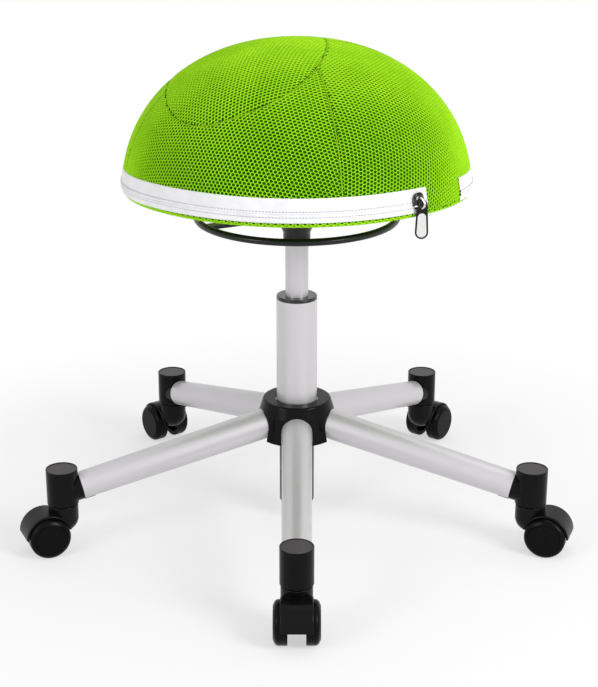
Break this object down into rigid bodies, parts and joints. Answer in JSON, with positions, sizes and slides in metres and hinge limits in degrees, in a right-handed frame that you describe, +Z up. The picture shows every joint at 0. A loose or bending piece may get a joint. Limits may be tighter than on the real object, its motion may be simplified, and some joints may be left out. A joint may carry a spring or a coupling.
{
  "type": "wobble stool",
  "caption": "Low stool with an inflated half-ball seat in a zipped mesh cover, on a height-adjusting gas column and a star base of tapered tubes with twin-wheel casters.",
  "frame": {"origin": "on the floor under the column's axis, with every wheel on the floor", "axes": "+Z up along the column; the front arm and its caster point along -Y"},
  "size_m": [0.6734, 0.6409, 0.6037],
  "materials": {
    "silver_paint": "satin silver",
    "black_paint": "satin black",
    "black_plastic": "fine grain, half matt",
    "gloss_black": "polished",
    "wheel_plastic": "half matt",
    "steel": "turned",
    "zinc_steel": "zinc plated",
    "black_rubber": "matt",
    "ball_rubber": "smooth",
    "plywood": "bare",
    "lime_mesh": "open spacer mesh",
    "white_tape": "woven zip tape",
    "gloss_black_metal": "gloss",
    "bright_metal": "polished"
  },
  "bodies": {
    "base": {"arm_tube_1": "silver_paint", "arm_cap_1": "black_plastic", "caster_stem_1": "steel", "arm_tube_2": "silver_paint", "arm_cap_2": "black_plastic", "caster_stem_2": "steel", "arm_tube_3": "silver_paint", "arm_cap_3": "black_plastic", "caster_stem_3": "steel", "arm_tube_4": "silver_paint", "arm_cap_4": "black_plastic", "caster_stem_4": "steel", "arm_tube_5": "silver_paint", "arm_cap_5": "black_plastic", "caster_stem_5": "steel", "hub_cover": "black_plastic", "hub_core": "steel", "column_sleeve": "silver_paint", "column_tube": "black_paint", "guide_bush": "gloss_black", "thrust_bearing": "steel"},
    "rod": {"piston_rod": "steel", "rod_clip": "steel", "bump_stop": "black_rubber"},
    "seat": {"gas_cylinder": "silver_paint", "seat_socket": "black_paint", "lever_pivot": "steel", "seat_plate": "black_paint", "plate_screws": "zinc_steel", "seat_board": "plywood", "half_ball": "ball_rubber", "air_plug": "black_rubber", "cover_top": "lime_mesh", "cover_bottom": "lime_mesh", "zipper_tape": "white_tape"},
    "pin": {"release_pin": "steel"},
    "ring": {"release_ring": "black_paint"},
    "slider": {"zipper_slider": "gloss_black_metal"},
    "puller": {"zipper_puller": "bright_metal"},
    "caster_1": {"caster_hood_1": "black_plastic", "caster_axle_1": "steel"},
    "wheel_left_1": {"caster_wheel_left_1": "wheel_plastic"},
    "wheel_right_1": {"caster_wheel_right_1": "wheel_plastic"},
    "caster_2": {"caster_hood_2": "black_plastic", "caster_axle_2": "steel"},
    "wheel_left_2": {"caster_wheel_left_2": "wheel_plastic"},
    "wheel_right_2": {"caster_wheel_right_2": "wheel_plastic"},
    "caster_3": {"caster_hood_3": "black_plastic", "caster_axle_3": "steel"},
    "wheel_left_3": {"caster_wheel_left_3": "wheel_plastic"},
    "wheel_right_3": {"caster_wheel_right_3": "wheel_plastic"},
    "caster_4": {"caster_hood_4": "black_plastic", "caster_axle_4": "steel"},
    "wheel_left_4": {"caster_wheel_left_4": "wheel_plastic"},
    "wheel_right_4": {"caster_wheel_right_4": "wheel_plastic"},
    "caster_5": {"caster_hood_5": "black_plastic", "caster_axle_5": "steel"},
    "wheel_left_5": {"caster_wheel_left_5": "wheel_plastic"},
    "wheel_right_5": {"caster_wheel_right_5": "wheel_plastic"}
  },
  "joints": [
    {"name": "seat_swivel", "type": "hinge", "parent": "base", "child": "rod", "pos_m": [0, 0, 0.3], "axis": [0, 0, 1], "continuous": true},
    {"name": "seat_lift", "type": "slide", "parent": "rod", "child": "seat", "axis": [0, 0, 1], "range_m": [-0.065, 0.035]},
    {"name": "ring_tilt", "type": "hinge", "parent": "seat", "child": "ring", "pos_m": [0.0196, 0.00999, 0.3945], "axis": [0.454, -0.891, 0], "range_deg": [0, 5], "stiffness_Nm_per_rad": 2, "springref_deg": -5.73},
    {"name": "pin_press", "type": "slide", "parent": "seat", "child": "pin", "axis": [0, 0, 1], "range_m": [-0.002, 0]},
    {"name": "zip_slide", "type": "hinge", "parent": "seat", "child": "slider", "pos_m": [0, 0, 0.4525], "axis": [0, 0, 1], "range_deg": [-330, 0]},
    {"name": "puller_swing", "type": "hinge", "parent": "slider", "child": "puller", "pos_m": [0.13625, -0.16411, 0.4497], "axis": [0.6388, -0.7694, 0], "range_deg": [-80, 80]},
    {"name": "caster_swivel_1", "type": "hinge", "parent": "base", "child": "caster_1", "pos_m": [0, -0.2975, 0.06], "axis": [0, 0, 1], "continuous": true},
    {"name": "wheel_left_spin_1", "type": "hinge", "parent": "caster_1", "child": "wheel_left_1", "pos_m": [0, -0.3205, 0.025], "axis": [1, 0, 0], "continuous": true},
    {"name": "wheel_right_spin_1", "type": "hinge", "parent": "caster_1", "child": "wheel_right_1", "pos_m": [0, -0.3205, 0.025], "axis": [1, 0, 0], "continuous": true},
    {"name": "caster_swivel_2", "type": "hinge", "parent": "base", "child": "caster_2", "pos_m": [0.28294, -0.09193, 0.06], "axis": [0, 0, 1], "continuous": true},
    {"name": "wheel_left_spin_2", "type": "hinge", "parent": "caster_2", "child": "wheel_left_2", "pos_m": [0.30455, -0.0998, 0.025], "axis": [0.342, 0.9397, 0], "continuous": true},
    {"name": "wheel_right_spin_2", "type": "hinge", "parent": "caster_2", "child": "wheel_right_2", "pos_m": [0.30455, -0.0998, 0.025], "axis": [0.342, 0.9397, 0], "continuous": true},
    {"name": "caster_swivel_3", "type": "hinge", "parent": "base", "child": "caster_3", "pos_m": [0.17487, 0.24068, 0.06], "axis": [0, 0, 1], "continuous": true},
    {"name": "wheel_left_spin_3", "type": "hinge", "parent": "caster_3", "child": "wheel_left_3", "pos_m": [0.18838, 0.25929, 0.025], "axis": [-0.809, 0.5878, 0], "continuous": true},
    {"name": "wheel_right_spin_3", "type": "hinge", "parent": "caster_3", "child": "wheel_right_3", "pos_m": [0.18838, 0.25929, 0.025], "axis": [-0.809, 0.5878, 0], "continuous": true},
    {"name": "caster_swivel_4", "type": "hinge", "parent": "base", "child": "caster_4", "pos_m": [-0.17487, 0.24068, 0.06], "axis": [0, 0, 1], "continuous": true},
    {"name": "wheel_left_spin_4", "type": "hinge", "parent": "caster_4", "child": "wheel_left_4", "pos_m": [-0.18838, 0.25929, 0.025], "axis": [-0.809, -0.5878, 0], "continuous": true},
    {"name": "wheel_right_spin_4", "type": "hinge", "parent": "caster_4", "child": "wheel_right_4", "pos_m": [-0.18838, 0.25929, 0.025], "axis": [-0.809, -0.5878, 0], "continuous": true},
    {"name": "caster_swivel_5", "type": "hinge", "parent": "base", "child": "caster_5", "pos_m": [-0.28294, -0.09193, 0.06], "axis": [0, 0, 1], "continuous": true},
    {"name": "wheel_left_spin_5", "type": "hinge", "parent": "caster_5", "child": "wheel_left_5", "pos_m": [-0.30395, -0.10129, 0.025], "axis": [0.4067, -0.9135, 0], "continuous": true},
    {"name": "wheel_right_spin_5", "type": "hinge", "parent": "caster_5", "child": "wheel_right_5", "pos_m": [-0.30395, -0.10129, 0.025], "axis": [0.4067, -0.9135, 0], "continuous": true}
  ],
  "couplings": [
    {"joint": "pin_press", "follows": "ring_tilt", "m_per_rad": -0.022}
  ]
}
